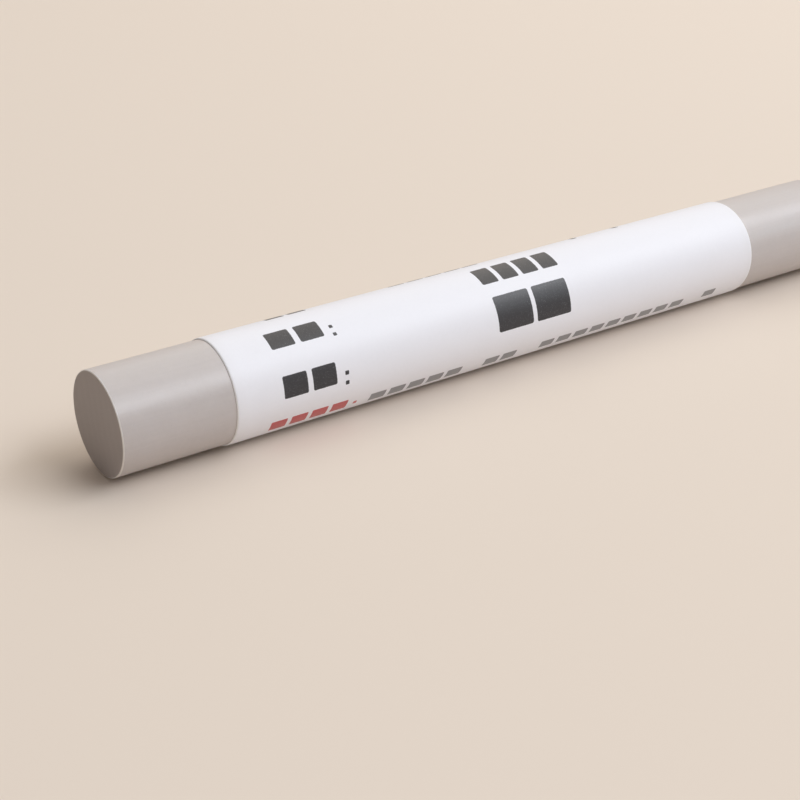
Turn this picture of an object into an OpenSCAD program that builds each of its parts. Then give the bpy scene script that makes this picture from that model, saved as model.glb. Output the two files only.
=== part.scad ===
// Furniture repair wax stick, lying on its side.
//
// A solid round stick of coloured wax, cut square at both ends, wears a
// self-adhesive paper label. The label goes once round the wax, climbs onto
// its own first edge and ends a little further on, which leaves bare wax at
// both ends to rub or shave off.
//
// The stick lies along X and the ground is at zero. Angles around the stick
// start at the back (+Y) and turn up over the top towards the front (-Y).

/* [Stick] */

// Length of the wax stick, from face to face
stick_len = 99; // [80:0.5:150]

// Diameter of the wax stick
stick_dia = 11; // [8:0.1:16]

// Radius of the worn edge between an end face and the side
edge_round = 0.15; // [0.05:0.05:0.5]

/* [Label] */

// Bare wax from the near end face to the label
near_bare = 12.4; // [5:0.1:25]

// Bare wax from the label to the far end face
far_bare = 15.2; // [5:0.1:25]

// Thickness of the paper
paper_t = 0.12; // [0.08:0.01:0.2]

// Thickness of the glue film on the back of the paper
glue_t = 0.03; // [0.02:0.01:0.06]

/* [Seam] */

// How far the label runs on over its own first edge, along its outer face
lap_len = 3.5; // [1:0.1:6]

// Angle of the first edge around the stick
seam_deg = -40; // [-60:1:-20]

// Angle at which the label leaves the wax to climb onto its first edge
climb_deg = 5; // [2:0.5:12]

/* [Hidden] */

// sides that draw a full circle
$fn = 180;

stick_r = stick_dia / 2;
near_x = -stick_len / 2;

// the label's own sizes
label_t = glue_t + paper_t;
label_len = stick_len - near_bare - far_bare;
label_x = near_x + near_bare;

// the first turn of the label is what touches the ground
turn_r = stick_r + label_t;
axis_z = turn_r;

// The climb is a flat panel. Its underside is a line that crosses the wax's
// circle at climb_deg and the first turn's circle at the seam, so its distance
// from the stick's axis gives the direction that it faces.
climb_at = stick_r * cos(climb_deg);
climb_faces = seam_deg - acos(climb_at / turn_r);

// the lap's outer face is one label thickness higher than the first turn's
lap_r = turn_r + label_t;
lap_deg = 360 * lap_len / (2 * PI * lap_r);
lap_end = seam_deg + lap_deg;

// a reach past everything in the section
reach = 2 * lap_r;

// Turns a shape that stands along Z to lie along X, with its foot at x.
module laid_from(x) {
    translate([x, 0, axis_z])
        rotate([90, 0, 90])
            children();
}

// Half of the stick's section: two plain blocks, with a round at each end.
module stick_half() {
    square([stick_r - edge_round, stick_len]);
    translate([0, edge_round])
        square([stick_r, stick_len - 2 * edge_round]);
    for (y = [edge_round, stick_len - edge_round]) {
        translate([stick_r - edge_round, y])
            circle(r = edge_round);
    }
}

// A slice of the section between two angles, wider than the stick.
module slice(from_deg, to_deg) {
    polygon(concat([[0, 0]], [
        for (share = [0:0.25:1])
            let (a = from_deg + share * (to_deg - from_deg))
            reach * [cos(a), sin(a)]
    ]));
}

// Everything that the label's face at height lift above its back goes round:
// the first turn, and the lap with the climb that leads up to it.
module inside(lift) {
    circle(r = stick_r + lift);

    intersection() {
        circle(r = turn_r + lift);
        slice(climb_faces, lap_end);
        rotate(climb_faces)
            translate([-reach, -reach])
                square([reach + climb_at + lift, 2 * reach]);
    }
}

// One layer of the label, from height low to height high above its back.
module layer(low, high) {
    linear_extrude(label_len) {
        difference() {
            inside(high);
            inside(low);
        }

        // the start of the first turn, which the lap hides
        intersection() {
            difference() {
                circle(r = stick_r + high);
                circle(r = stick_r + low);
            }
            slice(seam_deg, lap_end + lap_deg);
        }
    }
}

// The wax: one solid casting, cut square, with a slightly worn edge.
module wax_rod() {
    color("#bdb6b0")
        laid_from(near_x)
            rotate_extrude()
                stick_half();
}

// The glue: a thin film all over the back of the paper.
module label_glue() {
    color("#e6dfc8")
        laid_from(label_x)
            layer(0, glue_t);
}

// The paper: the white sheet that carries the print.
module label_paper() {
    color("#f2f2f6")
        laid_from(label_x)
            layer(glue_t, label_t);
}

wax_rod();
label_glue();
label_paper();
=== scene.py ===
# Furniture repair wax stick: the looks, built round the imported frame.
import math

import bpy
import numpy as np
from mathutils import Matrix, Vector


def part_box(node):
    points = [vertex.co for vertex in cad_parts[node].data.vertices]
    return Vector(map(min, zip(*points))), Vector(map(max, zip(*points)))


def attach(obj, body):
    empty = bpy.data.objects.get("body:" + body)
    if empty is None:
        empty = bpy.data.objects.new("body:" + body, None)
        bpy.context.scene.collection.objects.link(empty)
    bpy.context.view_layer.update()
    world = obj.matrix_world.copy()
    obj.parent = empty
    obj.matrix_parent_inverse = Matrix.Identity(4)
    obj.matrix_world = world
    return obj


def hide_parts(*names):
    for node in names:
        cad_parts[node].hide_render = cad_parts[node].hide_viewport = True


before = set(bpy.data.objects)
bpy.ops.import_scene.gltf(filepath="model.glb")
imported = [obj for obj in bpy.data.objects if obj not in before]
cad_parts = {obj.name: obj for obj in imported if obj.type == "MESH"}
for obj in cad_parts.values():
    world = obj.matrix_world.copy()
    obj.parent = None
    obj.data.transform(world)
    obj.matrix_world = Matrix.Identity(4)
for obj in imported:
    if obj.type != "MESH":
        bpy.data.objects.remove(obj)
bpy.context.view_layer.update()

mm = 0.001  # lengths are millimetres times this, but metres in the stage and plain millimetres in the print

rodLow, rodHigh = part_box("wax_rod")
paperLow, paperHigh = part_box("label_paper")
axisHeight = (rodLow.z + rodHigh.z) / 2
rodRadius = (rodHigh.z - rodLow.z) / 2
turnRadius = axisHeight - paperLow.z  # outer face of the label's first turn
labelLength = paperHigh.x - paperLow.x
print("frame loaded, stick radius", round(rodRadius / mm, 3), "mm")


# Helpers for meshes

rippleLook = {
    "waves": 9,
    "shortest": 0.6,  # wavelengths along the stick, as shares of the reach
    "longest": 1.9,
}


def ripple(along, around, reach, turns, seed):
    # mean of waves cos(2 pi x / length_k + n_k a + phase_k), from -1 to 1, the same after a full turn
    look = rippleLook
    rng = np.random.default_rng(seed)
    total = 0.0
    for wave in range(look["waves"]):
        length = reach * rng.uniform(look["shortest"], look["longest"])
        lengthwise = 2 * math.pi * along / length * rng.choice((-1, 1))
        roundwise = rng.integers(0, turns + 1) * around
        total = total + np.cos(lengthwise + roundwise + rng.uniform(0, 2 * math.pi))
    return total / look["waves"]


def ripples(along, around, parts):
    # sum of share * ripple; a part is a share, a reach along the stick, the most waves round it, a seed
    return sum(share * ripple(along, around, reach, turns, seed) for share, reach, turns, seed in parts)


def easeStep(low, high, value):
    # t = (value - low) / (high - low) held to 0..1, then t * t * (3 - 2 t)
    t = np.clip((value - low) / (high - low), 0, 1)
    return t * t * (3 - 2 * t)


def fromCut(x):
    # distance to the nearer cut end of the label, negative past it
    return np.minimum(x - paperLow.x, paperHigh.x - x)


def aroundAxis(x, radius, angle):
    # point = (x, radius cos(angle), axis height + radius sin(angle)); 0 is the back, 90 degrees the top
    return np.stack([x, radius * np.cos(angle), axisHeight + radius * np.sin(angle)], axis=-1)


def gridFaces(rows, columns, closed):
    # quad (i, j), (i, j+1), (i+1, j+1), (i+1, j); the last column meets the first where closed
    steps = columns if closed else columns - 1
    i, j = np.meshgrid(np.arange(rows - 1), np.arange(steps), indexing="ij")
    right = (j + 1) % columns
    quads = [i * columns + j, i * columns + right, (i + 1) * columns + right, (i + 1) * columns + j]
    return np.stack([q.ravel() for q in quads], axis=1)


def makePiece(name, points, faces, node, uv=None, sharpAngle=38):
    # one closed piece, smooth but for edges past sharpAngle degrees, in the place of its CAD node
    mesh = bpy.data.meshes.new(name)
    mesh.from_pydata(points.reshape(-1, 3).tolist(), [], [f for part in faces for f in part.tolist()])
    mesh.polygons.foreach_set("use_smooth", np.ones(len(mesh.polygons), bool))
    mesh.set_sharp_from_angle(angle=math.radians(sharpAngle))
    if uv is not None:
        corner = np.zeros(len(mesh.loops), np.int32)
        mesh.loops.foreach_get("vertex_index", corner)
        layer = mesh.uv_layers.new(name="unrolled")
        layer.data.foreach_set("uv", uv.reshape(-1, 2)[corner].ravel())
    mesh.validate()
    piece = bpy.data.objects.new(name, mesh)
    bpy.context.scene.collection.objects.link(piece)
    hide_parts(node)
    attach(piece, "root")
    print(name, "has", sum(len(face.vertices) - 2 for face in mesh.polygons), "triangles")
    return piece


# The wax stick

stickLook = {
    "edgeRound": 0.12 * mm,      # worn corner between face and side
    "edgeUneven": 0.60,          # largest share by which the corner's radius wanders
    "nearEdge": ((0.5, 1.0, 9, 21), (0.5, 1.0, 34, 22)),  # ripples of the near corner
    "farEdge": ((0.5, 1.0, 9, 31), (0.5, 1.0, 34, 32)),
    "dish": 0.035 * mm,          # how far the middle of a face has shrunk in
    "hollow": 0.012 * mm,        # deepest unevenness of the side
    "hollowMean": 0.5,           # share of it that is left where the ripples are at nought
    "side": ((0.36, 34 * mm, 3, 11), (0.14, 5 * mm, 7, 12)),
    "columns": 384,
    "faceRings": 20,
    "cornerRows": 9,
    "fromFace": 0.4 * mm,        # where the side's rows begin
    "underEdge": 0.6 * mm,       # how far the rows of the bare wax go on under the label
    "hiddenInset": 3.0 * mm,     # where the few rows under the label begin
    "nearRows": 44,
    "hiddenRows": 8,
    "farRows": 50,
}


def waxSurface():
    # A profile turned round the axis, its rows going from the near face's middle to the far one's.
    # Face: x = end +- dish (1 - t^2), r = t (R - e). Corner: a quarter circle of radius e(angle).
    # Side: x runs between the corners, R = rod radius - hollow (0.5 + 0.36 slow + 0.14 quick ripple).
    look = stickLook
    angle = np.linspace(0, 2 * math.pi, look["columns"], endpoint=False)
    nearX, farX = rodLow.x, rodHigh.x

    def sideRadius(x):
        # R at this x, all round
        return rodRadius - look["hollow"] * (look["hollowMean"] + ripples(x, angle, look["side"]))

    def endRows(endX, inward, edgeRipples):
        # the face's rings from the middle out, then the corner's rows; inward is 1 or -1 along X
        edge = look["edgeRound"] * (1 + look["edgeUneven"] * ripples(0 * angle, angle, edgeRipples))
        radius = sideRadius(endX)
        rows = []
        for t in np.linspace(0, 1, look["faceRings"] + 2)[1:-1]:
            rows.append((endX + inward * look["dish"] * (1 - t * t) + 0 * angle, t * (radius - edge)))
        for turn in np.linspace(0, math.pi / 2, look["cornerRows"]):
            rows.append((endX + inward * edge * (1 - math.cos(turn)), radius - edge * (1 - math.sin(turn))))
        return rows

    inset = look["hiddenInset"]
    sideX = np.concatenate([
        np.linspace(nearX + look["fromFace"], paperLow.x + look["underEdge"], look["nearRows"]),
        np.linspace(paperLow.x + inset, paperHigh.x - inset, look["hiddenRows"]),
        np.linspace(paperHigh.x - look["underEdge"], farX - look["fromFace"], look["farRows"]),
    ])
    grid = endRows(nearX, 1, look["nearEdge"])
    grid += [(x + 0 * angle, sideRadius(x)) for x in sideX]
    grid += endRows(farX, -1, look["farEdge"])[::-1]
    x, radius = np.array(grid).transpose(1, 0, 2)

    # one point in the middle of each face closes it with a fan
    rows, columns = x.shape
    points = aroundAxis(x, radius, angle[None, :]).reshape(-1, 3)
    middleX = np.array([nearX + look["dish"], farX - look["dish"]])
    points = np.concatenate([points, aroundAxis(middleX, np.zeros(2), np.zeros(2))])
    nearMiddle, farMiddle = rows * columns, rows * columns + 1
    j = np.arange(columns)
    right = (j + 1) % columns
    last = (rows - 1) * columns
    nearFan = np.stack([np.full(columns, nearMiddle), right, j], axis=1)
    farFan = np.stack([last + j, last + right, np.full(columns, farMiddle)], axis=1)
    return points, [gridFaces(rows, columns, True), nearFan, farFan]


# The label: one paper strip and the glue under it

labelLook = {
    "paper": 0.12 * mm,
    "glue": 0.03 * mm,
    "firstEdge": -40.0,          # degrees round the stick, 0 at the back, 90 at the top
    "lap": 3.5 * mm,             # how far the strip runs on over its first edge
    "climbFrom": 14.0,           # degrees before that edge at which the strip begins to rise
    "climbTo": 1.0,              # and at which it is up
    "press": 0.010 * mm,         # how far the paper is pressed in between the fingers' marks
    "pressMean": 0.55,
    "pressSwing": 0.45,
    "marks": ((0.62, 46 * mm, 3, 41), (0.38, 13 * mm, 6, 42)),
    "dip": 0.022 * mm,           # how far the blade has pressed a cut end down towards the wax
    "dipWidth": 0.3 * mm,
    "wander": 0.05 * mm,         # unevenness of the cut ends
    "wanderMean": 0.5,
    "nearCut": ((0.4, 1.0, 2, 51), (0.1, 1.0, 40, 52)),
    "farCut": ((0.4, 1.0, 2, 61), (0.1, 1.0, 40, 62)),
    "roundWidth": 0.15 * mm,     # how far in from a cut end its outer edge is pressed round
    "roundDrop": 0.090 * mm,
    "cutLean": 0.010 * mm,       # how far the cut runs back in under the printed face
    "columns": 460,
    "edgeRows": (0, 0.02, 0.045, 0.075, 0.11, 0.16, 0.3, 0.5, 1.0),  # mm in from a cut end
    "middleInset": 2.0 * mm,
    "middleRows": 58,
}
glueLook = {
    "squeeze": 0.01 * mm,        # glue that shows past the foot of the cut
    "lipShares": (1.0, 0.75, 0.45, 0.15),  # rows across that lip
    "insideRows": (0.02, 0.2, 0.8),        # mm in from the foot of the cut
    "middleInset": 3.0 * mm,
    "middleRows": 16,
    "shortOfEnd": 0.1 * mm,      # where the film stops before the end of the lap
    "sunk": 0.004 * mm,          # how deep it fills the wax's unevenness
    "play": 0.001 * mm,          # between its outer face and the paper
    "lipEdge": 0.006 * mm,       # thickness of the lip at its rim
    "lipSwell": 0.008 * mm,      # and how much more at its foot
    "raggedMean": 0.55,
    "raggedRim": ((0.45, 1.0, 60, 71),),
}
firstEdge = math.radians(labelLook["firstEdge"])
firstEdgeAgain = firstEdge + 2 * math.pi
labelThick = labelLook["paper"] + labelLook["glue"]
lapEnd = firstEdgeAgain + labelLook["lap"] / (turnRadius + labelThick)
paperInner = turnRadius - labelLook["paper"]  # inner face of the paper's first turn
unrolledUnit = 0.1  # metres of the label in one unit of its unrolled map


def stripRadius(x, angle):
    # inner face of the paper: r = paper inner + label thickness easeStep(climb) - press (0.55 + 0.45 marks)
    look = labelLook
    climbFrom = firstEdgeAgain - math.radians(look["climbFrom"])
    climbTo = firstEdgeAgain - math.radians(look["climbTo"])
    lift = labelThick * easeStep(climbFrom, climbTo, angle)
    pressed = look["pressMean"] + look["pressSwing"] * ripples(x, angle, look["marks"])
    return paperInner + lift - look["press"] * pressed


def cutDip(x):
    # how far the paper's inner face goes down towards the wax near a cut end: dip (1 - distance / width)^2
    look = labelLook
    return look["dip"] * np.clip(1 - fromCut(x) / look["dipWidth"], 0, 1) ** 2


def cutWander(angle, cut):
    # how far a cut end has strayed towards the label's middle: wander (0.5 + 0.4 slow + 0.1 quick ripple)
    look = labelLook
    return look["wander"] * (look["wanderMean"] + ripples(0 * angle, angle, look[cut]))


def closedStrip(x, inner, outer, angle, lean):
    # Loop of a section: the outer face with the angle rising, then the inner face back.
    # The two ends are closed by quads between outer j and inner j. The inner face is drawn in by
    # lean at the near end, by -lean at the far end and by a share of it between.
    # Map: x from the label's start and the arc from the first edge, both in unrolled units, and
    # the inner face lies half a unit further on, so that no print reaches it.
    rows, columns = x.shape
    drawnIn = lean * (1 - 2 * (x - paperLow.x) / labelLength)
    outerFace = aroundAxis(x, outer, angle)
    innerFace = aroundAxis(x + drawnIn, inner, angle)[:, ::-1]
    u = (x - paperLow.x) / unrolledUnit
    v = (angle - firstEdge) * turnRadius / unrolledUnit
    uv = np.concatenate([np.stack([u, v], -1), np.stack([u, v + 0.5], -1)[:, ::-1]], axis=1)
    around = 2 * columns
    j = np.arange(columns - 1)
    outerA, outerB = j, j + 1
    innerA, innerB = around - 1 - j, around - 2 - j
    last = (rows - 1) * around
    nearCap = np.stack([outerA, innerA, innerB, outerB], axis=1)
    farCap = np.stack([outerA, outerB, innerB, innerA], axis=1) + last
    faces = [gridFaces(rows, around, True), nearCap, farCap]
    return np.concatenate([outerFace, innerFace], axis=1), faces, uv


def paperSurface():
    # Rows crowd towards the cut ends, where the outer edge goes down by drop (1 - distance / width)^2.
    # Paper between: outer face = inner face + paper.
    look = labelLook
    edge = np.array(look["edgeRows"]) * mm
    middle = np.linspace(paperLow.x + look["middleInset"], paperHigh.x - look["middleInset"],
                         look["middleRows"])
    line = np.concatenate([paperLow.x + edge, middle, (paperHigh.x - edge)[::-1]])
    x, angle = np.meshgrid(line, np.linspace(firstEdge, lapEnd, look["columns"]), indexing="ij")
    share = (x - paperLow.x) / labelLength
    inner = stripRadius(x, angle) - cutDip(x)
    rounded = np.clip(1 - fromCut(x) / look["roundWidth"], 0, 1) ** 2
    outer = inner + look["paper"] - look["roundDrop"] * rounded
    x = x + cutWander(angle, "nearCut") * (1 - share) - cutWander(angle, "farCut") * share
    return closedStrip(x, inner, outer, angle, look["cutLean"])


def glueSurface():
    # Film between the wax and the paper: from sunk below the wax's radius to play below the paper.
    # Past the foot of a cut it is a ragged lip of thickness edge + swell (1 - share of the way out).
    look = glueLook
    foot = labelLook["cutLean"]
    lip = foot - np.array(look["lipShares"]) * look["squeeze"]
    inside = foot + np.array(look["insideRows"]) * mm
    middle = np.linspace(paperLow.x + look["middleInset"], paperHigh.x - look["middleInset"],
                         look["middleRows"])
    line = np.concatenate([paperLow.x + lip, paperLow.x + inside, middle,
                           (paperHigh.x - inside)[::-1], (paperHigh.x - lip)[::-1]])
    filmEnd = lapEnd - look["shortOfEnd"] / turnRadius
    x, angle = np.meshgrid(line, np.linspace(firstEdge, filmEnd, labelLook["columns"]), indexing="ij")
    past = np.clip(foot - fromCut(x), 0, None) / look["squeeze"]
    radius = stripRadius(x, angle)
    raised = np.clip(radius - paperInner + labelLook["press"], 0, None)
    inner = turnRadius - labelThick - look["sunk"] + raised
    underPaper = radius - cutDip(x) - look["play"]
    outer = np.where(past > 0, inner + look["lipEdge"] + look["lipSwell"] * (1 - past), underPaper)
    nearSide = x < (paperLow.x + paperHigh.x) / 2
    wander = np.where(nearSide, cutWander(angle, "nearCut"), -cutWander(angle, "farCut"))
    ragged = look["raggedMean"] + ripples(0 * angle, angle, look["raggedRim"])
    pulled = np.where(past > 0, past * look["squeeze"] * (1 - ragged), 0) * np.where(nearSide, 1, -1)
    return closedStrip(x + wander + pulled, inner, outer, angle, 0)


points, faces = waxSurface()
waxPiece = makePiece("waxStick", points, faces, "wax_rod")
points, faces, uv = glueSurface()
gluePiece = makePiece("labelGlueFilm", points, faces, "label_glue", uv)
points, faces, uv = paperSurface()
paperPiece = makePiece("labelStrip", points, faces, "label_paper", uv)
print("pieces built")


# Helpers for materials

def addNode(tree, kind, inputs=None, **settings):
    # a node with its settings; an input takes a link where it is given a socket, and a value otherwise
    node = tree.nodes.new(kind)
    for name, value in settings.items():
        setattr(node, name, value)
    for name, value in (inputs or {}).items():
        if isinstance(value, bpy.types.NodeSocket):
            tree.links.new(value, node.inputs[name])
        else:
            node.inputs[name].default_value = value
    return node


def calc(tree, operation, *values):
    # one Math node: its result for up to three values or sockets
    return addNode(tree, "ShaderNodeMath", dict(enumerate(values)), operation=operation).outputs[0]


def plusShare(tree, total, value, share):
    # total + value * share
    return calc(tree, "ADD", total, calc(tree, "MULTIPLY", value, share))


def remap(tree, value, fromLow, fromHigh, toLow=0.0, toHigh=1.0):
    # value carried from one range to another, with soft ends: t * t * (3 - 2 t) in between
    inputs = {"Value": value, "From Min": fromLow, "From Max": fromHigh, "To Min": toLow, "To Max": toHigh}
    return addNode(tree, "ShaderNodeMapRange", inputs, interpolation_type="SMOOTHSTEP").outputs[0]


def blendColours(tree, share, first, second, kind="MIX"):
    # first where share is 0, second where it is 1
    inputs = {0: share, 6: first, 7: second}
    return addNode(tree, "ShaderNodeMix", inputs, data_type="RGBA", blend_type=kind).outputs[2]


def scaleColour(tree, colour, share):
    # colour * share
    return addNode(tree, "ShaderNodeVectorMath", {0: colour, "Scale": share}, operation="SCALE").outputs[0]


def softNoise(tree, place, scale, detail, roughness):
    # fractal noise from 0 to 1 at scale times the place
    inputs = {"Vector": place, "Scale": scale, "Detail": detail, "Roughness": roughness}
    return addNode(tree, "ShaderNodeTexNoise", inputs).outputs["Fac"]


def newGroup(name, inputs, outputs):
    # a node group; each input is a name, a kind of socket and a starting value, each output a name
    group = bpy.data.node_groups.new(name, "ShaderNodeTree")
    for label, kind, start in inputs:
        socket = group.interface.new_socket(label, in_out="INPUT", socket_type="NodeSocket" + kind)
        if start is not None:
            socket.default_value = start
    for label in outputs:
        group.interface.new_socket(label, in_out="OUTPUT", socket_type="NodeSocketFloat")
    start = group.nodes.new("NodeGroupInput").outputs
    end = group.nodes.new("NodeGroupOutput").inputs
    return group, start, end


def useGroup(tree, group, inputs):
    # the group's outputs in a material, for these values or sockets
    return addNode(tree, "ShaderNodeGroup", inputs, node_tree=group).outputs


def srgb(red, green, blue):
    # 0..255 to linear: ((c + 0.055) / 1.055) ^ 2.4, or c / 12.92 for the darkest
    line = [c / 255 for c in (red, green, blue)]
    return tuple(((c + 0.055) / 1.055) ** 2.4 if c > 0.04045 else c / 12.92 for c in line) + (1.0,)


groupLook = {
    "mottleNoise": (5.0, 0.6),       # detail and roughness
    "mottleBand": (0.28, 0.72),      # where the noise counts as lowest and as highest
    "drawnNoise": (3.0, 0.55),
    "grainNoise": (2.0, 0.5),
    "grainTop": 0.75,                # the noise from which a grain begins where the share is nought
    "grainReach": 0.4,               # how far a whole share brings that down
    "grainEdge": 0.1,                # and how much more noise makes the grain whole
}

# cloudy change of shade: noise of a size in metres, carried to 1 - spread .. 1 + spread
mottle, start, end = newGroup("mottle", [("Place", "Vector", None), ("Size", "Float", 2 * mm),
                                         ("Spread", "Float", 0.02)], ["Shade", "Level"])
perSize = calc(mottle, "DIVIDE", 1.0, start["Size"])
noise = softNoise(mottle, start["Place"], perSize, *groupLook["mottleNoise"])
level = remap(mottle, noise, *groupLook["mottleBand"])
bothWays = calc(mottle, "MULTIPLY", start["Spread"], 2.0)
swing = calc(mottle, "MULTIPLY", calc(mottle, "SUBTRACT", level, 0.5), bothWays)
mottle.links.new(calc(mottle, "ADD", swing, 1.0), end["Shade"])
mottle.links.new(level, end["Level"])

# lines drawn out along X: noise squeezed to length by width
drawnLines, start, end = newGroup("drawnLines", [("Place", "Vector", None), ("Length", "Float", 20 * mm),
                                                 ("Width", "Float", 0.3 * mm), ("Low", "Float", 0.35),
                                                 ("High", "Float", 0.65)], ["Mask"])
perLength = calc(drawnLines, "DIVIDE", 1.0, start["Length"])
perWidth = calc(drawnLines, "DIVIDE", 1.0, start["Width"])
squeeze = addNode(drawnLines, "ShaderNodeCombineXYZ", {"X": perLength, "Y": perWidth, "Z": perWidth})
drawn = addNode(drawnLines, "ShaderNodeVectorMath", {0: start["Place"], 1: squeeze.outputs[0]},
                operation="MULTIPLY")
noise = softNoise(drawnLines, drawn.outputs[0], 1.0, *groupLook["drawnNoise"])
drawnLines.links.new(remap(drawnLines, noise, start["Low"], start["High"]), end["Mask"])

# grains: small spots where a fine noise is over top - reach * share
grains, start, end = newGroup("grains", [("Place", "Vector", None), ("Size", "Float", 0.2 * mm),
                                         ("Share", "Float", 0.3)], ["Mask"])
perSize = calc(grains, "DIVIDE", 1.0, start["Size"])
noise = softNoise(grains, start["Place"], perSize, *groupLook["grainNoise"])
spotFrom = plusShare(grains, groupLook["grainTop"], start["Share"], -groupLook["grainReach"])
spotTo = calc(grains, "ADD", spotFrom, groupLook["grainEdge"])
grains.links.new(remap(grains, noise, spotFrom, spotTo), end["Mask"])

# A row of printed bars that repeat every pitch: ink where the distance to a box with rounded
# corners is below zero. Distance = |max(q, 0)| + min(max(q.x, q.y), 0) - rounding,
# with q = |place - middle| - half size + rounding.
inkBars, start, end = newGroup("inkBars", [
    ("Along", "Float", 0.0), ("Around", "Float", 0.0), ("Wobble", "Float", 0.0), ("Start", "Float", 0.0),
    ("Pitch", "Float", 3.0), ("Bar", "Float", 2.0), ("Count", "Float", 2.0), ("Low", "Float", 0.0),
    ("High", "Float", 1.0), ("Rounding", "Float", 0.15), ("Blur", "Float", 0.025)], ["Ink"])
steps = calc(inkBars, "DIVIDE", calc(inkBars, "SUBTRACT", start["Along"], start["Start"]), start["Pitch"])
whole = calc(inkBars, "FLOOR", steps)
inStep = calc(inkBars, "MULTIPLY", calc(inkBars, "FRACT", steps), start["Pitch"])
halfBar = calc(inkBars, "MULTIPLY", start["Bar"], 0.5)
halfTall = calc(inkBars, "MULTIPLY", calc(inkBars, "SUBTRACT", start["High"], start["Low"]), 0.5)
middle = calc(inkBars, "MULTIPLY", calc(inkBars, "ADD", start["High"], start["Low"]), 0.5)
sideways = calc(inkBars, "ABSOLUTE", calc(inkBars, "SUBTRACT", inStep, halfBar))
sideways = calc(inkBars, "ADD", calc(inkBars, "SUBTRACT", sideways, halfBar), start["Rounding"])
upright = calc(inkBars, "ABSOLUTE", calc(inkBars, "SUBTRACT", start["Around"], middle))
upright = calc(inkBars, "ADD", calc(inkBars, "SUBTRACT", upright, halfTall), start["Rounding"])
squares = [calc(inkBars, "POWER", calc(inkBars, "MAXIMUM", q, 0.0), 2.0) for q in (sideways, upright)]
outside = calc(inkBars, "SQRT", calc(inkBars, "ADD", *squares))
within = calc(inkBars, "MINIMUM", calc(inkBars, "MAXIMUM", sideways, upright), 0.0)
distance = calc(inkBars, "SUBTRACT", calc(inkBars, "ADD", outside, within), start["Rounding"])
inwards = calc(inkBars, "MULTIPLY", start["Blur"], -1.0)
edge = remap(inkBars, calc(inkBars, "ADD", distance, start["Wobble"]), start["Blur"], inwards)
begun = calc(inkBars, "GREATER_THAN", whole, -0.5)
ended = calc(inkBars, "LESS_THAN", whole, calc(inkBars, "SUBTRACT", start["Count"], 0.5))
inkBars.links.new(calc(inkBars, "MULTIPLY", edge, calc(inkBars, "MULTIPLY", begun, ended)), end["Ink"])
print("shared groups built")


def newMaterial(name, piece):
    # an empty material on the piece: its tree, its Principled shader and the place on the piece
    material = bpy.data.materials.new(name)
    material.use_nodes = True
    tree = material.node_tree
    tree.nodes.clear()
    shader = tree.nodes.new("ShaderNodeBsdfPrincipled")
    out = tree.nodes.new("ShaderNodeOutputMaterial")
    tree.links.new(shader.outputs[0], out.inputs["Surface"])
    piece.data.materials.clear()
    piece.data.materials.append(material)
    place = addNode(tree, "ShaderNodeTexCoord").outputs["Object"]
    return tree, shader, place


def joinShader(tree, shader, colour, rough, height, ior):
    # colour, roughness and a relief of height in metres go to the shader
    bump = addNode(tree, "ShaderNodeBump", {"Height": height, "Strength": 1.0, "Distance": 1.0})
    tree.links.new(colour, shader.inputs["Base Color"])
    tree.links.new(rough, shader.inputs["Roughness"])
    tree.links.new(bump.outputs[0], shader.inputs["Normal"])
    shader.inputs["IOR"].default_value = ior


waxFinish = {
    "colour": srgb(195, 188, 186),
    "roughness": 0.34,
    "ior": 1.50,
    "depth": 0.12,               # share of the light that goes into the wax and comes out beside
    "depthReach": 0.5 * mm,
    "depthTint": (1.0, 0.8, 0.6),
    "clouds": {"Size": 4 * mm, "Spread": 0.012},
    "cloudRough": 0.03,
    "fineClouds": {"Size": 0.6 * mm, "Spread": 0.010},
    "fineHeight": 0.0022 * mm,
    "lines": {"Length": 16 * mm, "Width": 0.45 * mm},  # drawn along the stick by the mould
    "lineSpread": 0.009,
    "lineRough": 0.02,
    "lineHeight": 0.0011 * mm,
    "scuffs": {"Length": 3.2 * mm, "Width": 0.12 * mm, "Low": 0.66, "High": 0.74},
    "scuffColour": srgb(222, 218, 214),
    "scuffShare": 0.16,
    "scuffRough": 0.10,
    "scuffHeight": -0.0020 * mm,
    "grains": {"Size": 0.16 * mm, "Share": 0.22},
    "grainColour": srgb(150, 142, 135),
    "grainShare": 0.22,
    "faceFromEnd": (0.10 * mm, 0.05 * mm),     # where the face's look begins and is whole
    "faceFromSide": (0.05 * mm, 0.16 * mm),
    # painted shade: share of the colour left on the end faces
    "paintedFaceShade": (0.70, 0.68, 0.67, 1.0),
    "faceRough": 0.25,
    "cornerFromEnd": (0.17 * mm, 0.08 * mm),   # and the same for the rounded corner's painted highlight
    "cornerFromSide": (0.15 * mm, 0.07 * mm),
    # painted highlight on the rounded corners
    "cornerHighlightColour": srgb(238, 235, 232),
    "cornerHighlightShare": 0.85,
    "knifeCentre": (0, 31 * mm, -12 * mm),
    "knifeArcs": {"Scale": 230.0, "Distortion": 1.2, "Detail": 3.0, "Detail Scale": 1.4},
    "knifeLight": 1.02,
    "knifeHeight": 0.0045 * mm,
}


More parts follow.
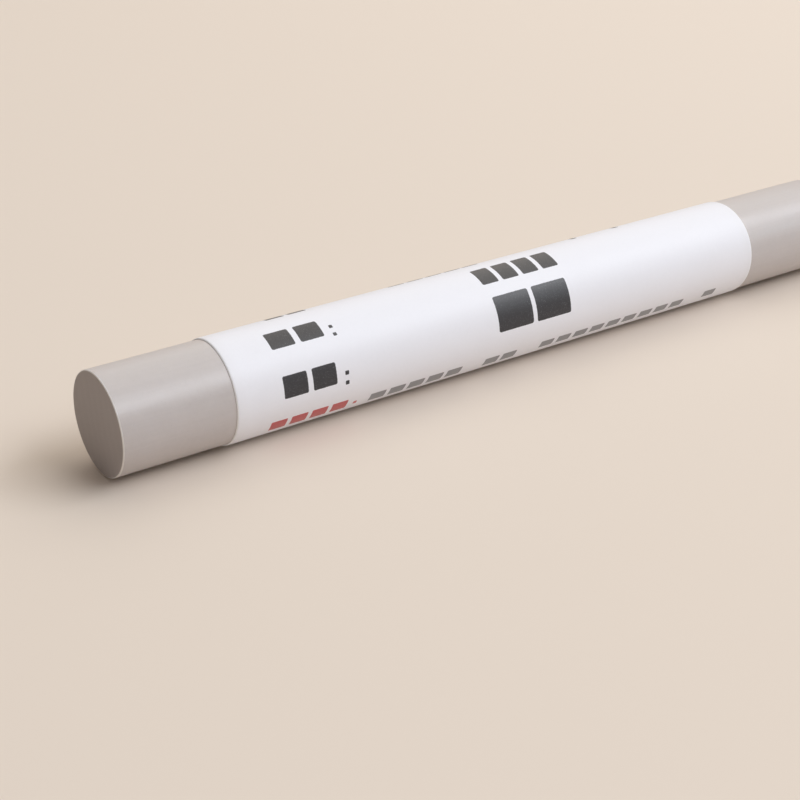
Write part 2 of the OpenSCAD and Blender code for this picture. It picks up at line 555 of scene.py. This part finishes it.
def finishWax():
    # Colour = wax * clouds * drawn lines * knife marks, then darker grains, pale scuffs, painted shade on
    # the end faces and a painted highlight on the rounded corners.
    look = waxFinish
    tree, shader, place = newMaterial("warmGreyWax", waxPiece)
    split = addNode(tree, "ShaderNodeSeparateXYZ", {0: place}).outputs
    height = calc(tree, "SUBTRACT", split["Z"], axisHeight)
    radius = calc(tree, "SQRT", calc(tree, "ADD", calc(tree, "POWER", split["Y"], 2.0),
                                     calc(tree, "POWER", height, 2.0)))
    fromSide = calc(tree, "SUBTRACT", rodRadius, radius)
    fromEnd = calc(tree, "MINIMUM", calc(tree, "SUBTRACT", split["X"], rodLow.x),
                   calc(tree, "SUBTRACT", rodHigh.x, split["X"]))
    onFace = calc(tree, "MULTIPLY", remap(tree, fromEnd, *look["faceFromEnd"]),
                  remap(tree, fromSide, *look["faceFromSide"]))
    corner = calc(tree, "MULTIPLY", remap(tree, fromEnd, *look["cornerFromEnd"]),
                  remap(tree, fromSide, *look["cornerFromSide"]))
    clouds = useGroup(tree, mottle, {"Place": place} | look["clouds"])
    fineClouds = useGroup(tree, mottle, {"Place": place} | look["fineClouds"])
    lines = useGroup(tree, drawnLines, {"Place": place} | look["lines"])["Mask"]
    lines = calc(tree, "MULTIPLY", lines, calc(tree, "SUBTRACT", 1.0, onFace))
    scuffs = useGroup(tree, drawnLines, {"Place": place} | look["scuffs"])["Mask"]
    spots = useGroup(tree, grains, {"Place": place} | look["grains"])["Mask"]

    # knife marks: gentle arcs swept across the face from a point beside it
    sweep = addNode(tree, "ShaderNodeMapping", {"Vector": place, "Location": look["knifeCentre"]})
    arcs = addNode(tree, "ShaderNodeTexWave", {"Vector": sweep.outputs[0]} | look["knifeArcs"],
                   wave_type="RINGS", rings_direction="X")
    knife = calc(tree, "MULTIPLY", arcs.outputs["Fac"], onFace)

    lineShade = remap(tree, lines, 0, 1, 1 - look["lineSpread"], 1 + look["lineSpread"])
    shade = calc(tree, "MULTIPLY", clouds["Shade"], fineClouds["Shade"])
    shade = calc(tree, "MULTIPLY", shade, lineShade)
    shade = calc(tree, "MULTIPLY", shade, remap(tree, knife, 0, 1, 1.0, look["knifeLight"]))
    colour = scaleColour(tree, look["colour"][:3], shade)
    for mask, share, tint in ((spots, "grainShare", "grainColour"), (scuffs, "scuffShare", "scuffColour")):
        colour = blendColours(tree, calc(tree, "MULTIPLY", mask, look[share]), colour, look[tint])
    # painted shade: the end faces' colour is multiplied down
    colour = blendColours(tree, onFace, colour, look["paintedFaceShade"], "MULTIPLY")
    # painted highlight: the rounded corners are blended towards a pale colour
    cornerHighlightShare = calc(tree, "MULTIPLY", corner, look["cornerHighlightShare"])
    colour = blendColours(tree, cornerHighlightShare, colour, look["cornerHighlightColour"])

    rough = look["roughness"]
    for level, swing in ((clouds["Level"], look["cloudRough"]), (lines, look["lineRough"])):
        rough = calc(tree, "ADD", rough, remap(tree, level, 0, 1, -swing, swing))
    rough = plusShare(tree, rough, scuffs, look["scuffRough"])
    rough = plusShare(tree, rough, onFace, look["faceRough"])

    relief = calc(tree, "MULTIPLY", lines, look["lineHeight"])
    relief = plusShare(tree, relief, fineClouds["Level"], look["fineHeight"])
    relief = plusShare(tree, relief, scuffs, look["scuffHeight"])
    relief = plusShare(tree, relief, knife, look["knifeHeight"])
    joinShader(tree, shader, colour, rough, relief, look["ior"])
    shader.inputs["Subsurface Weight"].default_value = look["depth"]
    shader.inputs["Subsurface Radius"].default_value = look["depthTint"]
    shader.inputs["Subsurface Scale"].default_value = look["depthReach"]


labelPrint = {
    "black": srgb(33, 32, 36),
    "red": srgb(190, 58, 56),
    "thin": 0.72,       # share of the black in the thin bars
    "cover": 0.97,      # share of the paper's colour that ink hides
    "redCover": 0.95,   # and of that share in the red bars
    "pinholes": {"Size": 0.07 * mm, "Share": 0.34},
    "pinholeShare": 0.16,
    "ragged": {"Size": 0.10 * mm, "Spread": 0.02},
    "raggedHeight": 0.0006 * mm,
    "height": 0.004 * mm,
    "roughness": 0.34,
    # name: ink; start of the row in mm from the label's near end, pitch and width of its bars in mm,
    # how many; their top and bottom in degrees down from the stick's top; rounding of corners in mm
    "rows": {
        "title": ("black", 7.75, 2.65, 2.2, 2, -32, -15, 0.15),
        "titleMiddle": ("black", 23.3, 2.5, 2.1, 5, -32, -19, 0.15),
        "titleEnd": ("black", 48.75, 6.35, 0.85, 2, -32, -16, 0.15),
        "fieldOne": ("black", 5.5, 3.45, 2.8, 2, 15, 37, 0.2),
        "fieldOneUpperTick": ("black", 12.7, 2.0, 0.44, 1, 26, 30, 0.08),
        "fieldOneLowerTick": ("black", 12.7, 2.0, 0.44, 1, 36, 40, 0.08),
        "fieldTwo": ("black", 5.45, 3.45, 2.85, 2, 66.5, 90.5, 0.2),
        "fieldTwoUpperTick": ("black", 12.75, 2.0, 0.46, 1, 79, 83.5, 0.08),
        "fieldTwoLowerTick": ("black", 12.75, 2.0, 0.46, 1, 90, 94.5, 0.08),
        "valueOne": ("black", 32.6, 2.8, 2.2, 4, 1.5, 29, 0.2),
        "valueTwo": ("black", 32.75, 5.35, 4.8, 2, 46, 87, 0.25),
        "noteRed": ("red", 4.2, 2.45, 1.95, 4, 117.5, 133.5, 0.12),
        "noteRedTick": ("red", 14.3, 2.0, 0.45, 1, 124, 129, 0.08),
        "noteFirst": ("thin", 16.4, 2.5, 2.0, 5, 120, 134.5, 0.12),
        "noteSecond": ("thin", 31.55, 2.45, 1.95, 2, 120, 134, 0.12),
        "noteThird": ("thin", 39.4, 2.475, 1.9, 9, 119, 131.5, 0.12),
        "noteEnd": ("thin", 64.4, 2.475, 1.9, 1, 117, 128.5, 0.12),
    },
}
paperFinish = {
    "colour": srgb(240, 240, 246),
    "roughness": 0.46,
    "ior": 1.42,
    "clouds": {"Size": 5 * mm, "Spread": 0.006},
    "cloudRough": 0.025,
    "fibres": {"Size": 0.35 * mm, "Spread": 0.01},
    "fibreColour": srgb(236, 236, 242),
    "fibreShare": 0.30,
    "fibreHeight": 0.0012 * mm,
    "specks": {"Size": 0.12 * mm, "Share": 0.16},
    "speckColour": srgb(205, 203, 206),
    "speckShare": 0.20,
    "handledMm": (1.8, 0.2),     # mm from a cut end where hands have begun to dull it, and most
    "handledColour": srgb(222, 219, 218),
    "handledShare": 0.12,
    "rimMm": (0.16, 0.10),       # and where the rim's painted highlight begins and is whole
    # painted highlight on the rim
    "rimHighlightColour": srgb(251, 251, 252),
    "rimRough": 0.3,
}


def unrolledPlace(tree):
    # mm along the label from its start, mm round it from the first edge and mm from the nearer cut end
    flat = addNode(tree, "ShaderNodeUVMap", uv_map="unrolled").outputs[0]
    split = addNode(tree, "ShaderNodeSeparateXYZ", {0: flat}).outputs
    along = calc(tree, "MULTIPLY", split["X"], unrolledUnit / mm)
    around = calc(tree, "MULTIPLY", split["Y"], unrolledUnit / mm)
    toFarEnd = calc(tree, "SUBTRACT", labelLength / mm, along)
    return along, around, calc(tree, "MINIMUM", along, toFarEnd)


def aroundMm(down):
    # arc length in mm from the first edge to a place that is down degrees from the top, towards the front
    return (math.radians(90 + down) - firstEdge) * turnRadius / mm


def finishPaper():
    # Coated white paper, printed with rows of plain bars in the unrolled map.
    # Colour = paper with fibres, specks, handling and a painted rim highlight, times clouds, then the inks
    # over it.
    look = paperFinish
    tree, shader, place = newMaterial("coatedLabelPaper", paperPiece)
    along, around, fromEnd = unrolledPlace(tree)
    fibres = useGroup(tree, mottle, {"Place": place} | look["fibres"])
    clouds = useGroup(tree, mottle, {"Place": place} | look["clouds"])
    specks = useGroup(tree, grains, {"Place": place} | look["specks"])["Mask"]
    pinholes = useGroup(tree, grains, {"Place": place} | labelPrint["pinholes"])["Mask"]
    ragged = useGroup(tree, mottle, {"Place": place} | labelPrint["ragged"])
    wobble = calc(tree, "SUBTRACT", ragged["Shade"], 1.0)

    ink = {"black": 0.0, "thin": 0.0, "red": 0.0}
    for tint, begin, pitch, bar, count, top, bottom, rounding in labelPrint["rows"].values():
        row = useGroup(tree, inkBars, {"Along": along, "Around": around, "Wobble": wobble,
                                       "Start": begin, "Pitch": pitch, "Bar": bar, "Count": count,
                                       "Low": aroundMm(top), "High": aroundMm(bottom),
                                       "Rounding": rounding})["Ink"]
        ink[tint] = calc(tree, "MAXIMUM", row, ink[tint])
    cover = plusShare(tree, labelPrint["cover"], pinholes, -labelPrint["pinholeShare"])
    black = calc(tree, "MAXIMUM", ink["black"], calc(tree, "MULTIPLY", ink["thin"], labelPrint["thin"]))
    black = calc(tree, "MULTIPLY", black, cover)
    red = calc(tree, "MULTIPLY", ink["red"], calc(tree, "MULTIPLY", cover, labelPrint["redCover"]))
    inked = calc(tree, "MAXIMUM", black, red)

    # a highlight is painted along the rim of each cut end, and hands have dulled the paper a little further
    # in
    rim = remap(tree, fromEnd, *look["rimMm"])
    handled = remap(tree, fromEnd, *look["handledMm"])
    colour = look["colour"]
    for mask, kind in ((fibres["Level"], "fibre"), (specks, "speck"), (handled, "handled")):
        share = calc(tree, "MULTIPLY", mask, look[kind + "Share"])
        colour = blendColours(tree, share, colour, look[kind + "Colour"])
    # painted highlight along the rim of each cut end
    colour = blendColours(tree, rim, colour, look["rimHighlightColour"])
    colour = scaleColour(tree, colour, clouds["Shade"])
    colour = blendColours(tree, black, colour, labelPrint["black"])
    colour = blendColours(tree, red, colour, labelPrint["red"])

    rough = calc(tree, "ADD", look["roughness"],
                 remap(tree, clouds["Level"], 0, 1, -look["cloudRough"], look["cloudRough"]))
    rough = plusShare(tree, rough, rim, look["rimRough"])
    rough = plusShare(tree, rough, inked, labelPrint["roughness"] - look["roughness"])

    relief = calc(tree, "MULTIPLY", fibres["Level"], look["fibreHeight"])
    relief = plusShare(tree, relief, ragged["Level"], labelPrint["raggedHeight"])
    relief = plusShare(tree, relief, inked, labelPrint["height"])
    joinShader(tree, shader, colour, rough, relief, look["ior"])


glueFinish = {
    "colour": srgb(196, 184, 160),
    "roughness": 0.30,
    "ior": 1.47,
    "lipMm": (0.06, 0.0),        # mm from a cut end where the dusty lip begins and is whole
    "clumps": {"Size": 0.9 * mm, "Spread": 0.1},
    "clumpLeast": 0.55,
    "dust": {"Size": 0.10 * mm, "Share": 0.75},
    "dustLeast": 0.7,
    "dustColour": srgb(190, 183, 176),
    "dustRough": 0.45,
    "dustHeight": 0.004 * mm,
}


def finishGlue():
    # clear yellowish film; its lip past the paper has picked up dust: held = lip * clumps * dust
    look = glueFinish
    tree, shader, place = newMaterial("clearLabelGlue", gluePiece)
    fromEnd = unrolledPlace(tree)[2]
    clumps = useGroup(tree, mottle, {"Place": place} | look["clumps"])["Level"]
    dust = useGroup(tree, grains, {"Place": place} | look["dust"])["Mask"]
    held = remap(tree, fromEnd, *look["lipMm"])
    held = calc(tree, "MULTIPLY", held, remap(tree, clumps, 0, 1, look["clumpLeast"], 1.0))
    held = calc(tree, "MULTIPLY", held, remap(tree, dust, 0, 1, look["dustLeast"], 1.0))
    colour = blendColours(tree, held, look["colour"], look["dustColour"])
    rough = plusShare(tree, look["roughness"], held, look["dustRough"])
    relief = calc(tree, "MULTIPLY", dust, look["dustHeight"])
    joinShader(tree, shader, colour, rough, relief, look["ior"])


finishWax()
finishPaper()
finishGlue()
print("materials built")


# Floor, light and camera, in metres

stageLook = {
    "floorColour": srgb(229, 216, 203),
    "floorSize": 2.4,
    "floorLines": 9,
    "floorRoughness": 0.75,
    "paintedShadeFrom": 0.16,    # painted shade: under the lamps the floor's colour sinks from this x
    "paintedShadeTo": 0.85,      # to this one
    "paintedShadeShare": 0.66,   # down to this share
    "skyColour": (1.0, 0.92, 0.88, 1.0),
    "sky": 0.195,
    "backdropColour": srgb(214, 205, 196),  # what the camera and mirror-like rays see past the floor
    # soft boxes that all face the stick: middle, width, height, watts, colour
    "lamps": {
        "frontBox": ((0.75, -0.73, 1.1), 1.50, 0.58, 16.1, (0.89, 0.93, 0.99)),
        "backBox": ((0.60, 0.42, 1.1), 1.60, 1.46, 10.0, (1.0, 0.96, 0.88)),
        "wallBox": ((0.90, 1.70, 0.6), 1.60, 0.80, 1.6, (1.0, 0.82, 0.70)),
        "sideBox": ((1.45, -1.15, 0.75), 0.60, 0.60, 3.9, (0.80, 0.92, 1.0)),
    },
}


def buildFloor():
    # a flat grid of squares; its colour = floor * share, painted shade which goes from 1 down to the shaded
    # share along X, under the lamps
    look = stageLook
    count = look["floorLines"]
    line = np.linspace(-look["floorSize"] / 2, look["floorSize"] / 2, count)
    x, y = np.meshgrid(line, line, indexing="xy")
    points = np.stack([x, y, 0 * x], -1).reshape(-1, 3)
    mesh = bpy.data.meshes.new("paleFloor")
    mesh.from_pydata(points.tolist(), [], gridFaces(count, count, False).tolist())
    floor = bpy.data.objects.new("paleFloor", mesh)
    bpy.context.scene.collection.objects.link(floor)
    tree, shader, place = newMaterial("paleFloor", floor)
    across = addNode(tree, "ShaderNodeSeparateXYZ", {0: place}).outputs["X"]
    # painted shade: the floor's colour sinks towards the lamps' side
    share = remap(tree, across, look["paintedShadeFrom"], look["paintedShadeTo"], 1.0, look["paintedShadeShare"])
    tree.links.new(scaleColour(tree, look["floorColour"][:3], share), shader.inputs["Base Color"])
    shader.inputs["Roughness"].default_value = look["floorRoughness"]


def buildSky():
    # even light from all sides; the camera and mirror-like rays see the backdrop instead
    look = stageLook
    world = bpy.data.worlds.new("studio")
    world.use_nodes = True
    tree = world.node_tree
    light = tree.nodes["Background"]
    light.inputs["Color"].default_value = look["skyColour"]
    light.inputs["Strength"].default_value = look["sky"]
    backdrop = addNode(tree, "ShaderNodeBackground", {"Color": look["backdropColour"], "Strength": 1.0})
    ray = tree.nodes.new("ShaderNodeLightPath").outputs
    mirrorLike = calc(tree, "MAXIMUM", ray["Is Glossy Ray"], ray["Is Transmission Ray"])
    seen = calc(tree, "MAXIMUM", ray["Is Camera Ray"], mirrorLike)
    both = addNode(tree, "ShaderNodeMixShader", {0: seen, 1: light.outputs[0], 2: backdrop.outputs[0]})
    tree.links.new(both.outputs[0], tree.nodes["World Output"].inputs["Surface"])
    bpy.context.scene.world = world


def buildLamps():
    # each box is turned so that its back points away from the stick
    for name, (middle, width, height, watts, colour) in stageLook["lamps"].items():
        lamp = bpy.data.lights.new(name, "AREA")
        lamp.shape = "RECTANGLE"
        lamp.size = width
        lamp.size_y = height
        lamp.energy = watts
        lamp.color = colour
        holder = bpy.data.objects.new(name, lamp)
        holder.location = middle
        holder.rotation_euler = Vector(middle).to_track_quat("Z", "Y").to_euler()
        bpy.context.scene.collection.objects.link(holder)


# The view was fitted to the photograph's outlines. It is a plain pinhole, its distance is in
# stick diameters from the middle of the near face, and its angles are in radians.
photoView = {
    "imagePixels": 800,
    "focalPixels": 1654.54,
    "diameters": 14.8638,
    "stickDiameter": 11 * mm,
    "azimuth": -0.4081,    # where the camera stands, seen from that middle
    "elevation": 0.4648,
    "yaw": 0.6106,         # where it looks
    "pitch": 0.4583,
    "sensorMm": 36,
    "clip": (0.01, 20),
}


def towards(turn, rise):
    # unit vector (sin turn cos rise, cos turn cos rise, sin rise); turn 0 is +Y
    return Vector((math.sin(turn) * math.cos(rise), math.cos(turn) * math.cos(rise), math.sin(rise)))


def buildCamera():
    # place = near middle + away * distance; lens = sensor width * focal pixels / image pixels
    look = photoView
    nearMiddle = Vector((rodLow.x, 0, axisHeight))
    away = towards(math.pi - look["azimuth"], look["elevation"])
    ahead = towards(look["yaw"], -look["pitch"])
    lens = bpy.data.cameras.new("photoCamera")
    lens.sensor_width = look["sensorMm"]
    lens.lens = look["sensorMm"] * look["focalPixels"] / look["imagePixels"]
    lens.clip_start, lens.clip_end = look["clip"]
    camera = bpy.data.objects.new("photoCamera", lens)
    camera.location = nearMiddle + away * look["diameters"] * look["stickDiameter"]
    camera.rotation_euler = ahead.to_track_quat("-Z", "Y").to_euler()
    bpy.context.scene.collection.objects.link(camera)
    bpy.context.scene.camera = camera


buildFloor()
buildSky()
buildLamps()
buildCamera()
bpy.context.scene.view_settings.view_transform = "Standard"
print("stage, light and camera built")
